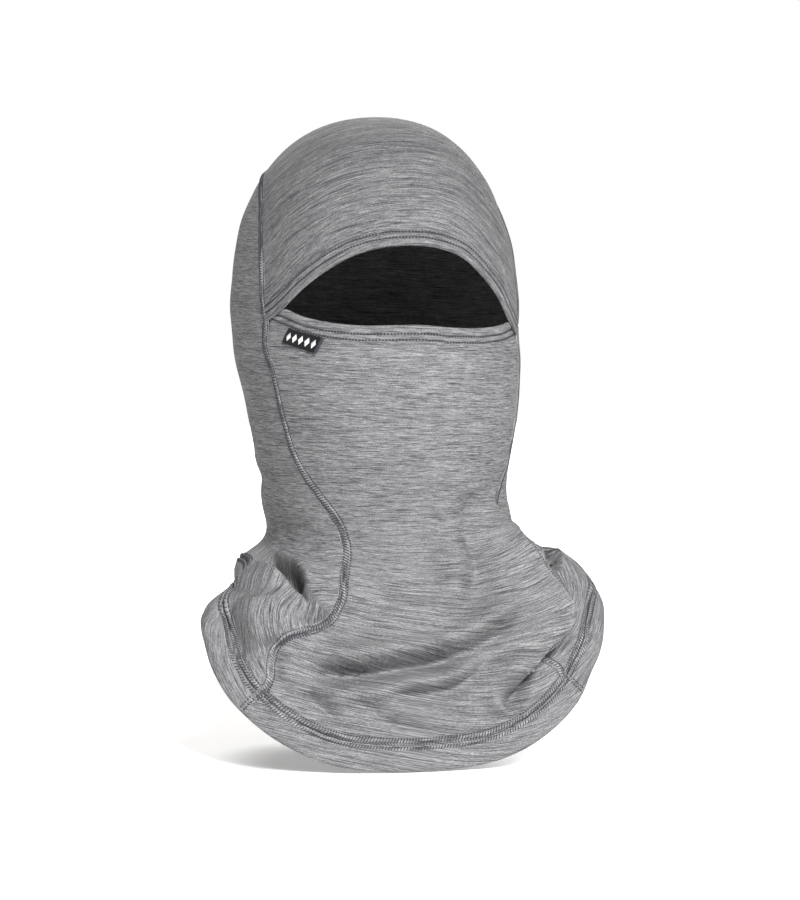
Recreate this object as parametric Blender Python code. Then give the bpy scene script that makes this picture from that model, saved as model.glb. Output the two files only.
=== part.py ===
"""A hinged balaclava in knitted jersey, as it stands on a head, with its mask and its crown on real joints.

X runs to the wearer's left, -Y is the front and +Z is up. The origin is on the head's vertical axis, at the
height of the eye opening's two corners. The mask and the crown both turn about the line through those corners.
All lengths are metres and all angles are degrees.
"""

import math

import bpy
import numpy as np

# The form that the cloth stands on, from the crown down to the hem of the cape.
HEAD_HALF_WIDTH = 0.0820
HEAD_FRONT = 0.1040
HEAD_BACK = 0.1060
CROWN_HEIGHT = 0.1190
CROWN_POWER = 2.3

# Each outline below the eye line has a few (height, value) points, and the form runs smoothly through them.
HALF_WIDTH = (
    (-0.270, 0.1180), (-0.180, 0.1190), (-0.165, 0.1180), (-0.150, 0.1080), (-0.138, 0.0930),
    (-0.126, 0.0750), (-0.105, 0.0700), (-0.075, 0.0730), (-0.050, 0.0775), (-0.025, 0.0810),
    (0.000, HEAD_HALF_WIDTH), (0.025, HEAD_HALF_WIDTH),
)
FRONT_Y = (
    (-0.270, -0.1150), (-0.240, -0.1140), (-0.200, -0.1100), (-0.165, -0.1030), (-0.130, -0.0960),
    (-0.105, -0.0980), (-0.075, -0.1070), (-0.050, -0.1090), (-0.025, -0.1070), (0.000, -HEAD_FRONT),
    (0.025, -HEAD_FRONT),
)
BACK_Y = (
    (-0.270, 0.0980), (-0.200, 0.0950), (-0.165, 0.0880), (-0.130, 0.0730), (-0.105, 0.0680),
    (-0.075, 0.0780), (-0.050, 0.0930), (-0.025, 0.1030), (0.000, HEAD_BACK), (0.025, HEAD_BACK),
)
CENTRE_X = ((-0.270, 0.0090), (-0.165, 0.0090), (-0.105, 0.0030), (-0.050, 0.0020), (0.000, 0.0), (0.025, 0.0))
CENTRE_Y = ((-0.270, -0.0300), (-0.165, -0.0300), (-0.105, -0.0180), (-0.050, -0.0110), (0.000, 0.0), (0.025, 0.0))
SQUARENESS = ((-0.270, 2.8), (-0.165, 2.8), (-0.105, 2.2), (0.000, 2.1), (0.025, 2.1))

# Where the pieces of cloth meet.
CORNER_Y = -0.0430
CORNER_X = 0.0760
TURNING_END_X = 0.0745
BROW_ANGLE = -52.0
NOSE_ANGLE = -90.0
CHIN_ANGLE = -140.0
CROWN_SEAM_ANGLE = 48.0
CROWN_SEAM_POWER = 7
SIDE_SEAM = (
    (-0.270, 58.0), (-0.223, 57.0), (-0.206, 50.0), (-0.191, 45.0), (-0.182, 38.0), (-0.174, 27.0),
    (-0.162, 22.0), (-0.145, 24.0), (-0.124, 35.0), (-0.113, 39.0), (-0.101, 47.0), (-0.083, 59.0),
    (-0.057, 64.0), (-0.029, 65.0), (0.000, 66.0),
)
SHOULDER_HEM_Z = -0.1500
FRONT_DROP = 0.1180
BACK_DROP = 0.0720
HEM_POWER = 2.6
SHOULDER_ROUNDING = 0.0200
SEAM_TURN = 0.3
SEAM_TOP_GAP = 0.0070
SEAM_ROWS = 23
CORNER_ROWS = 3

# Cloth and thread.
CLOTH = 0.0012
HEM_THICKNESS = 0.0019
HEM_WIDTH = 0.0095
BAND_WIDTH = 0.0160
BAND_THICKNESS = 0.0018
GAP = 0.0012
INNER_LAYER = 0.0024
SEAM_WIDTH = 0.0060
SEAM_THICKNESS = 0.0007
STITCH_WIDTH = 0.0040
STITCH_THICKNESS = 0.0004
STITCH_GAP = 0.0003
SEAM_GAP = 0.0012
LAP = 2.5

# Woven label, near the wearer's right corner of the mask.
LABEL_X = -0.0520
LABEL_LENGTH = 0.0270
LABEL_WIDTH = 0.0095
LABEL_THICKNESS = 0.0007
LABEL_DROP = 0.0150

HEATHER = (0.30, 0.30, 0.32, 1.0)
THREAD = (0.20, 0.21, 0.24, 1.0)
BLACK = (0.012, 0.012, 0.015, 1.0)


def through(points, at):
    """The smooth curve through (position, value) points, read at a position or an array of them."""
    places, values = np.array(points, float).T
    slopes = np.gradient(values, places)
    at = np.clip(at, places[0], places[-1])
    i = np.clip(np.searchsorted(places, at) - 1, 0, len(places) - 2)
    step = places[i + 1] - places[i]
    f = (at - places[i]) / step
    start = values[i] * (1 + 2 * f) * (1 - f) ** 2 + slopes[i] * step * f * (1 - f) ** 2
    end = values[i + 1] * f * f * (3 - 2 * f) + slopes[i + 1] * step * f * f * (f - 1)
    return start + end


def section(z):
    """Half-width, depth to the front and to the back, centre and squareness of the form at height z."""
    z = np.asarray(z, float)
    centre_y = through(CENTRE_Y, z)
    return (
        through(HALF_WIDTH, z),
        centre_y - through(FRONT_Y, z),
        through(BACK_Y, z) - centre_y,
        through(CENTRE_X, z),
        centre_y,
        through(SQUARENESS, z),
    )


def level(points):
    """Below 0 inside the form, 0 on its surface and above 0 outside it."""
    x, y, z = np.moveaxis(points, -1, 0)
    half, front, back, centre_x, centre_y, power = section(z)
    depth = np.where(y < centre_y, front, back)
    ring = np.abs((x - centre_x) / half) ** power + np.abs((y - centre_y) / depth) ** power
    dome = (np.maximum(z, 0) / CROWN_HEIGHT) ** CROWN_POWER
    return ring ** (CROWN_POWER / power) + dome - 1


def outward(points):
    """The surface's outward direction at each point."""
    step = 2e-4
    slope = [level(points + axis) - level(points - axis) for axis in np.eye(3) * step]
    slope = np.stack(slope, axis=-1)
    return slope / np.linalg.norm(slope, axis=-1, keepdims=True)


def round_point(angle, z):
    """The surface point at this angle round the form, from the front towards +X, and at this height."""
    half, front, back, centre_x, centre_y, power = section(z)
    size = (1 - (np.maximum(z, 0) / CROWN_HEIGHT) ** CROWN_POWER) ** (1 / CROWN_POWER)
    sine, cosine = np.sin(np.radians(angle)), np.cos(np.radians(angle))
    depth = np.where(cosine > 0, front, back)
    x = centre_x + size * half * np.sign(sine) * np.abs(sine) ** (2 / power)
    y = centre_y - size * depth * np.sign(cosine) * np.abs(cosine) ** (2 / power)
    return np.stack(np.broadcast_arrays(x, y, z), axis=-1)


def turned_point(x, angle):
    """The surface point in the plane of this x, on a ray from the corners' axis. Angle 0 is straight up."""
    x, angle = np.broadcast_arrays(np.asarray(x, float), np.radians(angle))
    start = np.stack([x, np.full_like(x, CORNER_Y), np.zeros_like(x)], axis=-1)
    ray = np.stack([np.zeros_like(x), np.sin(angle), np.cos(angle)], axis=-1)
    near, far = np.zeros_like(x), np.full_like(x, 0.2)
    for _ in range(40):
        middle = (near + far) / 2
        inside = level(start + ray * middle[..., None]) < 0
        near, far = np.where(inside, middle, near), np.where(inside, far, middle)
    return start + ray * near[..., None]


def crown_seam_angle(x):
    return CROWN_SEAM_ANGLE * (1 - (np.abs(x) / CORNER_X) ** CROWN_SEAM_POWER)


def hem_height(angle):
    """The height of the hem, which is lowest in front and highest at the shoulders."""
    sine = np.abs(np.sin(np.radians(angle))) ** (2 / through(SQUARENESS, SHOULDER_HEM_Z))
    drop = np.where(np.cos(np.radians(angle)) > 0, FRONT_DROP, BACK_DROP)
    drop = drop * np.maximum(1 - sine**HEM_POWER, 0) ** (1 / HEM_POWER)
    return SHOULDER_HEM_Z + SHOULDER_ROUNDING - np.hypot(drop, SHOULDER_ROUNDING)


def spread(first, last, count):
    return np.linspace(first, last, count)


def material(name, colour, roughness):
    made = bpy.data.materials.new(name)
    made.use_nodes = True
    shader = made.node_tree.nodes["Principled BSDF"]
    shader.inputs["Base Color"].default_value = colour
    shader.inputs["Roughness"].default_value = roughness
    shader.inputs["Metallic"].default_value = 0.0
    made.diffuse_color = colour
    return made


def sheet(name, grid, thickness, inset, colour=HEATHER, roughness=0.95, parent=None):
    """A closed sheet of cloth from a grid of surface points, this far inside the form and this thick."""
    grid = grid - outward(grid) * inset
    rows, columns = grid.shape[:2]
    faces = [
        (r * columns + c, r * columns + c + 1, (r + 1) * columns + c + 1, (r + 1) * columns + c)
        for r in range(rows - 1)
        for c in range(columns - 1)
    ]
    points = grid.reshape(-1, 3)
    corner = points[list(faces[0])]
    facing = np.cross(corner[1] - corner[0], corner[3] - corner[0]) @ outward(corner[0])
    if facing < 0:
        faces = [face[::-1] for face in faces]
    origin = np.array(parent.location) if parent else np.zeros(3)
    mesh = bpy.data.meshes.new(name)
    mesh.from_pydata((points - origin).tolist(), [], faces)
    mesh.shade_smooth()
    mesh.set_sharp_from_angle(angle=math.radians(40))
    mesh.materials.append(material(name, colour, roughness))
    piece = bpy.data.objects.new(name, mesh)
    bpy.context.scene.collection.objects.link(piece)
    piece.parent = parent
    solid = piece.modifiers.new("Thickness", "SOLIDIFY")
    solid.thickness = thickness
    solid.offset = -1.0
    return piece


def strip(name, line, width, thickness, inset, colour=THREAD, parent=None):
    """A flat strip along a line of surface points, such as a row of stitching."""
    along = np.gradient(line, axis=0)
    side = np.cross(along, outward(line))
    side /= np.linalg.norm(side, axis=-1, keepdims=True)
    grid = np.stack([line - side * width / 2, line, line + side * width / 2])
    return sheet(name, grid, thickness, inset, colour, 0.7, parent)


def turning_frame(name):
    """An empty on the corners' axis, which carries the pieces that turn about it."""
    frame = bpy.data.objects.new(name, None)
    frame.location = (0.0, CORNER_Y, 0.0)
    bpy.context.scene.collection.objects.link(frame)
    return frame


def turn_over(x, angle, distance):
    """The turn about the corners' axis that covers this distance down the cloth, from this angle at this x."""
    axis = np.stack([x, x * 0 + CORNER_Y, x * 0], axis=-1)
    radius = np.linalg.norm(turned_point(x, angle) - axis, axis=-1)
    return np.degrees(distance / radius)


def hem_turn(x, angle):
    """The turn that a hem's width takes up, kept short where the hem runs into the corner."""
    return np.minimum(turn_over(x, angle, HEM_WIDTH), 24.0)


def turned_grid(x, first, last, rows):
    share = spread(0.0, 1.0, rows)[:, None]
    return turned_point(x[None, :], first + (last - first) * share)


def make_crown(frame):
    """The crown panel, from the brow hem back to the seam over the head, and the brow hem with its stitching."""
    x = TURNING_END_X * np.sin(spread(-math.pi / 2, math.pi / 2, 29))
    hem_end = BROW_ANGLE + hem_turn(x, BROW_ANGLE)
    seam = crown_seam_angle(x) + LAP
    sheet("crown_panel", turned_grid(x, hem_end + 0.4, seam, 15), CLOTH, INNER_LAYER, parent=frame)
    sheet("brow_hem", turned_grid(x, BROW_ANGLE, hem_end, 3), HEM_THICKNESS, INNER_LAYER, parent=frame)
    stitched = turned_point(x, BROW_ANGLE + (hem_end - BROW_ANGLE) * 0.7)
    raised = INNER_LAYER - STITCH_THICKNESS - STITCH_GAP
    strip("brow_hem_stitching", stitched, STITCH_WIDTH, STITCH_THICKNESS, raised, parent=frame)


def make_mask(frame):
    """The face panel, from the nose hem down to the chin, the nose hem with its stitching, and the label."""
    x = TURNING_END_X * np.sin(spread(-math.pi / 2, math.pi / 2, 29))
    hem_end = NOSE_ANGLE - hem_turn(x, NOSE_ANGLE)
    sheet("face_panel", turned_grid(x, hem_end - 0.4, CHIN_ANGLE - LAP, 9), CLOTH, INNER_LAYER, parent=frame)
    sheet("nose_hem", turned_grid(x, NOSE_ANGLE, hem_end, 3), HEM_THICKNESS, INNER_LAYER, parent=frame)
    stitched = turned_point(x, NOSE_ANGLE + (hem_end - NOSE_ANGLE) * 0.7)
    raised = INNER_LAYER - STITCH_THICKNESS - STITCH_GAP
    strip("nose_hem_stitching", stitched, STITCH_WIDTH, STITCH_THICKNESS, raised, parent=frame)
    make_label(frame)


def make_label(frame):
    """The woven label and the thread that holds it on, just under the nose hem."""
    x = spread(LABEL_X - LABEL_LENGTH / 2, LABEL_X + LABEL_LENGTH / 2, 7)
    middle = turned_point(x, NOSE_ANGLE - turn_over(x, NOSE_ANGLE, LABEL_DROP))
    raised = INNER_LAYER - LABEL_THICKNESS - STITCH_GAP
    strip("label", middle, LABEL_WIDTH, LABEL_THICKNESS, raised, BLACK, frame)
    thread_inset = raised - STITCH_THICKNESS - STITCH_GAP
    thread = middle[:2] + (middle[1] - middle[0]) * 0.1
    strip("label_stitching", thread, LABEL_WIDTH * 0.8, STITCH_THICKNESS, thread_inset, THREAD, frame)


def crown_seam_line(count):
    """Surface points along the seam over the head, from the left corner of the opening to the right one."""
    x = CORNER_X * 0.985 * np.sin(spread(-math.pi / 2, math.pi / 2, count))
    return turned_point(x, crown_seam_angle(x))


def round_angle(points):
    """The angle round the form of each surface point, the reverse of round_point."""
    half, front, back, centre_x, centre_y, power = section(points[:, 2])
    across = points[:, 0] - centre_x
    ahead = centre_y - points[:, 1]
    depth = np.where(ahead > 0, front, back)
    sine = np.sign(across) * np.abs(across / half) ** (power / 2)
    cosine = np.sign(ahead) * np.abs(ahead / depth) ** (power / 2)
    return np.degrees(np.arctan2(sine, cosine))


def patch(bottom, top, side, middle):
    """Surface points over a four-sided panel, whose edges are (angle, height) curves.

    The side curve starts at the bottom's first point, and the other side mirrors it about the middle angle.
    """
    share = spread(0.0, 1.0, len(side))[:, None]
    low, high = [(edge[:, 0] - middle) / (edge[0, 0] - middle) for edge in (bottom, top)]
    angle = middle + (side[:, :1] - middle) * (low * (1 - share) + high * share)
    height = side[:, 1:] + (bottom[:, 1] - bottom[0, 1]) * (1 - share) ** 2 + (top[:, 1] - top[0, 1]) * share**2
    return round_point(angle, height)


def band_top(angle):
    return hem_height(angle) + BAND_WIDTH


def seam_foot():
    """Where the side seam meets the top of the hem band, as (angle, height)."""
    angle = SIDE_SEAM[0][1]
    for _ in range(30):
        angle = float(through(SIDE_SEAM, band_top(angle) + GAP))
    return angle, float(band_top(angle) + GAP)


def seam_side(shift):
    """The side seam from the band up to the mask as (angle, height) points, moved round the form by shift."""
    z = spread(seam_foot()[1], -SEAM_TOP_GAP, SEAM_ROWS)
    return np.stack([through(SIDE_SEAM, z) + shift, z], axis=-1)


def make_bib():
    """The lower front panel, from under the chin to the hem band."""
    x = TURNING_END_X * np.sin(spread(-math.pi / 2, math.pi / 2, 29))
    chin = turned_point(x, CHIN_ANGLE)
    top = np.stack([round_angle(chin), chin[:, 2]], axis=-1)
    side = seam_side(-SEAM_TURN) * (-1.0, 1.0)
    top[:, 0] *= side[-1, 0] / top[0, 0]
    top[:, 1] += (side[-1, 1] - top[0, 1]) * np.abs(top[:, 0] / top[0, 0]) ** 8
    angle = spread(side[0, 0], -side[0, 0], len(x))
    bottom = np.stack([angle, band_top(angle) + GAP], axis=-1)
    sheet("bib_panel", patch(bottom, top, side, 0.0), CLOTH, 0.0)


def make_back():
    """The back panel: the back of the head, the nape and the back and sides of the cape, in one piece."""
    arch = crown_seam_line(41)[::-1]
    top = np.stack([round_angle(arch) % 360.0, arch[:, 2]], axis=-1)
    side = seam_side(SEAM_TURN)
    corner = spread(side[-1], top[0], CORNER_ROWS + 1)
    side = np.vstack([side, corner[1:]])
    angle = spread(side[0, 0], 360.0 - side[0, 0], len(arch))
    bottom = np.stack([angle, band_top(angle) + GAP], axis=-1)
    sheet("back_panel", patch(bottom, top, side, 180.0), CLOTH, 0.0)


def make_band(name, first, last, columns):
    """A length of the hem band, sewn round the bottom of the cape."""
    angle = spread(first, last, columns)
    low = hem_height(angle)
    rows = [round_point(angle, low + (BAND_WIDTH - GAP) * share) for share in (0.0, 0.5, 1.0)]
    sheet(name, np.stack(rows), BAND_THICKNESS, 0.0)


def make_root_seams():
    """The flatlock seams: over the head, down both sides, round the top of the band and across its joins."""
    raised = -SEAM_THICKNESS - SEAM_GAP
    strip("crown_seam", crown_seam_line(49)[3:-3], SEAM_WIDTH * 0.8, SEAM_THICKNESS, raised)
    join, foot = seam_foot()
    z = spread(-SEAM_TOP_GAP, foot + SEAM_WIDTH, 45)
    for name, side in (("side_seam_right", -1.0), ("side_seam_left", 1.0)):
        line = round_point(side * through(SIDE_SEAM, z), z)
        strip(name, line, SEAM_WIDTH * 0.8, SEAM_THICKNESS, raised)
    for name, first, last, count in (
        ("band_seam_front", -join + 4, join - 4, 33),
        ("band_seam_back", join + 4, 356 - join, 49),
    ):
        angle = spread(first, last, count)
        strip(name, round_point(angle, band_top(angle)), SEAM_WIDTH, SEAM_THICKNESS, raised)
    for name, angle in (("band_join_right", -join), ("band_join_left", join)):
        z = spread(hem_height(angle) + 0.001, band_top(angle) - SEAM_WIDTH / 2 - GAP, 5)
        strip(name, round_point(angle + z * 0, z), SEAM_WIDTH * 0.6, SEAM_THICKNESS, raised)


def clear_scene():
    for old in list(bpy.data.objects):
        bpy.data.objects.remove(old)


def main():
    clear_scene()
    make_crown(turning_frame("crown_frame"))
    make_mask(turning_frame("mask_frame"))
    make_bib()
    make_back()
    join = seam_foot()[0]
    make_band("hem_band_front", -join + SEAM_TURN, join - SEAM_TURN, 41)
    make_band("hem_band_back", join + SEAM_TURN, 360.0 - join - SEAM_TURN, 57)
    make_root_seams()


main()
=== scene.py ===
"""The looks of the hinged balaclava: heather jersey, folded hems, flatlock seams and soft folds in the cape.

Each piece of cloth is a fine grid on one smooth form, and every piece takes the same folds from that form, so
the panels, the hems, the seams and their stitches stay together. Lengths are metres, except in the folds and
in the tables that metres() turns, which are millimetres. Angles are degrees.
"""

import math

import bmesh
import bpy
import numpy as np
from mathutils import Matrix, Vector


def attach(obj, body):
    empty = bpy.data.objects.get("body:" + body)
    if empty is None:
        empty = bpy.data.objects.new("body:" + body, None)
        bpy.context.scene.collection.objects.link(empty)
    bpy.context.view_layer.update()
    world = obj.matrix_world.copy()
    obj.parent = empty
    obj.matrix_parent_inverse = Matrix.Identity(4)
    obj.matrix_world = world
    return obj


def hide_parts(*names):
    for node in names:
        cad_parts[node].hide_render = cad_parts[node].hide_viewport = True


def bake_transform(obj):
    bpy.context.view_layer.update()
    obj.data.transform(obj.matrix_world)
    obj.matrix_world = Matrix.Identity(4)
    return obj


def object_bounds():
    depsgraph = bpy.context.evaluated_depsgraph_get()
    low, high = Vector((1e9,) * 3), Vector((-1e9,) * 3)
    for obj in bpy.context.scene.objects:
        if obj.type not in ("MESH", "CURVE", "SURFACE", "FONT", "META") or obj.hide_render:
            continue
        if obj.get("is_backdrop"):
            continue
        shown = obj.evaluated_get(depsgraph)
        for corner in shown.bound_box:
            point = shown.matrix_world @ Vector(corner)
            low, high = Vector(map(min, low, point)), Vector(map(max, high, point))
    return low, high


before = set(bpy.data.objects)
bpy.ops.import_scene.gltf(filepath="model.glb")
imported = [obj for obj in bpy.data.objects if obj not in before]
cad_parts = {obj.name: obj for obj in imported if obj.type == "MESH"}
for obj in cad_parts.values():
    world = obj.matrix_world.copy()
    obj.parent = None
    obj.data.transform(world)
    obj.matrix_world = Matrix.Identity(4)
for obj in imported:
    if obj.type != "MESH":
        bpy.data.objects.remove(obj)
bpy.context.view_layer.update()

# ---- the form under the cloth
CROWN_HEIGHT = 0.1190
CROWN_POWER = 2.3


def metres(pairs, columns=(0, 1)):
    """A table's pairs, with these columns turned from millimetres to metres."""
    return tuple(tuple(v / 1000 if i in columns else v for i, v in enumerate(pair)) for pair in pairs)


# The form's measures at each height, as (height, value) points.
HALF_WIDTH = metres((
    (-270, 134), (-200, 133), (-180, 131), (-165, 126), (-150, 111), (-138, 93), (-126, 75), (-105, 70),
    (-75, 73), (-50, 77.5), (-25, 81), (0, 82), (25, 82),
))
FRONT_Y = metres((
    (-270, -115), (-240, -114), (-200, -110), (-165, -103), (-130, -96), (-105, -98), (-75, -107),
    (-50, -109), (-25, -107), (0, -104), (25, -104),
))
BACK_Y = metres((
    (-270, 98), (-200, 95), (-165, 88), (-130, 73), (-105, 68), (-75, 78), (-50, 93), (-25, 103), (0, 106),
    (25, 106),
))
CENTRE_X = metres((
    (-270, -1), (-180, 1), (-165, 4), (-150, 9), (-138, 9), (-105, 3), (-50, 2), (0, 0), (25, 0),
))
CENTRE_Y = metres((
    (-270, -30), (-165, -30), (-105, -18), (-50, -11), (0, 0), (25, 0),
))
SQUARENESS = metres((
    (-270, 3.4), (-190, 3.2), (-165, 2.8), (-105, 2.2), (0, 2.1), (25, 2.1),
), columns=(0,))

# The side seams on the -X and the +X side, as (height, angle round the form). The front is 0 and +X is 90.
LEFT_SEAM = metres((
    (-211, -31.5), (-205, -29), (-197, -27), (-186, -28), (-177, -28), (-172, -24.5), (-169.5, -20),
    (-166, -17.5), (-156, -18), (-140, -24), (-123, -32), (-109, -36), (-96, -45), (-79, -56), (-56, -62),
    (-29, -63), (-18, -65), (-2, -64), (8, -65), (21, -66.4),
), columns=(0,))
RIGHT_SEAM = metres((
    (-206, 38), (-198, 31), (-194, 29.5), (-188, 25.5), (-182, 23.5), (-176, 29), (-169, 34), (-163, 36),
    (-156, 34.5), (-145, 34), (-134, 39), (-124, 42), (-113, 44), (-101, 47), (-83, 57), (-56, 62),
    (-29, 63), (-18, 65), (-2, 64), (8, 65), (21, 66.4),
), columns=(0,))

# The edges of the eye opening and of the cape, as (angle round the form, height).
BROW_EDGE = metres((
    (-67, -3.5), (-60, 0.4), (-53, 7), (-43, 19.5), (-34, 28.8), (-23, 37.8), (-11, 43.2), (0, 45),
    (11, 44.2), (23, 38.5), (32, 29), (41, 18.5), (50, 6.5), (59, -1.5), (67, -6),
), columns=(1,))
NOSE_EDGE = metres((
    (-67, 10), (-53, 6), (-42, 2), (-32, 0), (-20, -0.8), (-9, 0), (1, 0.8), (17, 0), (29, 0.3), (39, 1.5),
    (52, 4), (67, 6),
), columns=(1,))
HEM_EDGE = metres((
    (0, -249.5), (8, -246), (16, -239), (25, -228.5), (33, -218), (41, -207), (48, -194.5), (56, -180),
    (62, -171), (70, -164), (80, -154.5), (90, -149), (110, -153), (135, -176), (160, -208), (180, -217),
), columns=(1,))
LEFT_JOIN = -36.0  # where the two lengths of the hem band join, round the form
RIGHT_JOIN = 40.0
CORNER_X = 0.0760  # the eye opening's corners, which are also on the joints' axis
CORNER_Y = -0.0430
CROWN_SEAM_ANGLE = 48.0  # how far the seam over the head leans back from upright
CROWN_SEAM_POWER = 7
ROLL = 0.0437  # the face sits a little lower on the +X side, as a slope
BACK_TAPER = 0.23
SLOPE_STEP = 2e-4


def smooth(first, last, value):
    """0 before first, 1 after last, and a soft step between them."""
    share = np.clip((value - first) / (last - first), 0, 1)
    return share * share * (3 - 2 * share)


def through(points, at):
    """The smooth curve through (position, value) points, read at a position or an array of them."""
    places, values = np.array(points, float).T
    slopes = np.gradient(values, places)
    at = np.clip(at, places[0], places[-1])
    i = np.clip(np.searchsorted(places, at) - 1, 0, len(places) - 2)
    step = places[i + 1] - places[i]
    f = (at - places[i]) / step
    start = values[i] * (1 + 2 * f) * (1 - f) ** 2 + slopes[i] * step * f * (1 - f) ** 2
    end = values[i + 1] * f * f * (3 - 2 * f) + slopes[i + 1] * step * f * f * (f - 1)
    return start + end


def section(z):
    """Half-width, depth to the front and to the back, centre and squareness of the form at height z."""
    z = np.asarray(z, float)
    centre_y = through(CENTRE_Y, z)
    return (
        through(HALF_WIDTH, z),
        centre_y - through(FRONT_Y, z),
        through(BACK_Y, z) - centre_y,
        through(CENTRE_X, z),
        centre_y,
        through(SQUARENESS, z),
    )


def taper(y, z):
    """How much narrower the cape is behind the shoulders than in front of them, as a share of its width."""
    return 1 - BACK_TAPER * smooth(-0.075, 0.0, y) * smooth(-0.130, -0.160, z)


def level(points):
    """Below 0 inside the form, 0 on its surface and above 0 outside it."""
    x, y, z = np.moveaxis(points, -1, 0)
    half, front, back, centre_x, centre_y, power = section(z)
    half = half * taper(y, z)
    depth = np.where(y < centre_y, front, back)
    ring = np.abs((x - centre_x) / half) ** power + np.abs((y - centre_y) / depth) ** power
    dome = (np.maximum(z, 0) / CROWN_HEIGHT) ** CROWN_POWER
    return ring ** (CROWN_POWER / power) + dome - 1


def slope_at(points):
    """How much the level rises over two steps along each axis."""
    steps = np.eye(3) * SLOPE_STEP
    return np.stack([level(points + axis) - level(points - axis) for axis in steps], axis=-1)


def outward(points):
    """The surface's outward direction at each point."""
    slope = slope_at(points)
    return slope / np.linalg.norm(slope, axis=-1, keepdims=True)


def round_point(angle, z):
    """The surface point at this angle round the form, from the front towards +X, and at this height."""
    half, front, back, centre_x, centre_y, power = section(z)
    size = (1 - (np.maximum(z, 0) / CROWN_HEIGHT) ** CROWN_POWER) ** (1 / CROWN_POWER)
    sine, cosine = np.sin(np.radians(angle)), np.cos(np.radians(angle))
    depth = np.where(cosine > 0, front, back)
    y = centre_y - size * depth * np.sign(cosine) * np.abs(cosine) ** (2 / power)
    x = centre_x + size * half * taper(y, z) * np.sign(sine) * np.abs(sine) ** (2 / power)
    return np.stack(np.broadcast_arrays(x, y, z), axis=-1)


def turned_point(x, angle):
    """The surface point in the plane of this x, on a ray from the corners' axis. Angle 0 is straight up."""
    x, angle = np.broadcast_arrays(np.asarray(x, float), np.radians(angle))
    start = np.stack([x, np.full_like(x, CORNER_Y), np.zeros_like(x)], axis=-1)
    ray = np.stack([np.zeros_like(x), np.sin(angle), np.cos(angle)], axis=-1)
    near, far = np.zeros_like(x), np.full_like(x, 0.2)
    for _ in range(40):
        middle = (near + far) / 2
        inside = level(start + ray * middle[..., None]) < 0
        near, far = np.where(inside, middle, near), np.where(inside, far, middle)
    return start + ray * near[..., None]


def unit(vectors):
    """The vectors at length 1."""
    return vectors / np.maximum(np.linalg.norm(vectors, axis=-1, keepdims=True), 1e-12)


def settle(points):
    """The points moved onto the form's surface, straight down its slope."""
    for _ in range(3):
        slope = slope_at(points) / (2 * SLOPE_STEP)
        share = level(points) / np.maximum((slope**2).sum(-1), 1e-6)
        points = points - slope * share[..., None]
    return points


def round_angle(points):
    """The angle round the form of each surface point, the reverse of round_point."""
    half, front, back, centre_x, centre_y, power = section(points[..., 2])
    half = half * taper(points[..., 1], points[..., 2])
    across = points[..., 0] - centre_x
    ahead = centre_y - points[..., 1]
    depth = np.where(ahead > 0, front, back)
    sine = np.sign(across) * np.abs(across / half) ** (power / 2)
    cosine = np.sign(ahead) * np.abs(ahead / depth) ** (power / 2)
    return np.degrees(np.arctan2(sine, cosine))


def beside(line, distance):
    """Surface points at this distance to the left of a line of surface points, as seen from outside."""
    along = unit(np.gradient(line, axis=0))
    side = np.cross(outward(line), along)
    return settle(line + side * distance)


def lengths_along(line):
    """How far along the line each of its points is."""
    return np.concatenate([[0], np.cumsum(np.linalg.norm(np.diff(line, axis=0), axis=1))])


def resampled(line, count, crowding=0.0):
    """The line with this many points, evenly spaced or crowded towards its two ends."""
    length = lengths_along(line)
    crowded = length[-1] * (0.5 - 0.5 * np.cos(np.linspace(0, math.pi, count)))
    at = crowding * crowded + (1 - crowding) * np.linspace(0, length[-1], count)
    return np.stack([np.interp(at, length, line[:, i]) for i in range(3)], axis=-1)


def evenly(line, step):
    """The line with its points moved to even steps of about this length."""
    return resampled(line, max(int(round(lengths_along(line)[-1] / step)), 4) + 1)


def facing_out(facing, up):
    """The directions, turned round where they point into the form."""
    return facing * np.where((facing * up).sum(-1, keepdims=True) < 0, -1, 1)


# ---- the folds
FOLD_REACH = 4  # how far a fold reaches from its path, in half-widths
FOLD_END = 0.18  # the share of its path over which a fold fades out at each end
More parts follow.
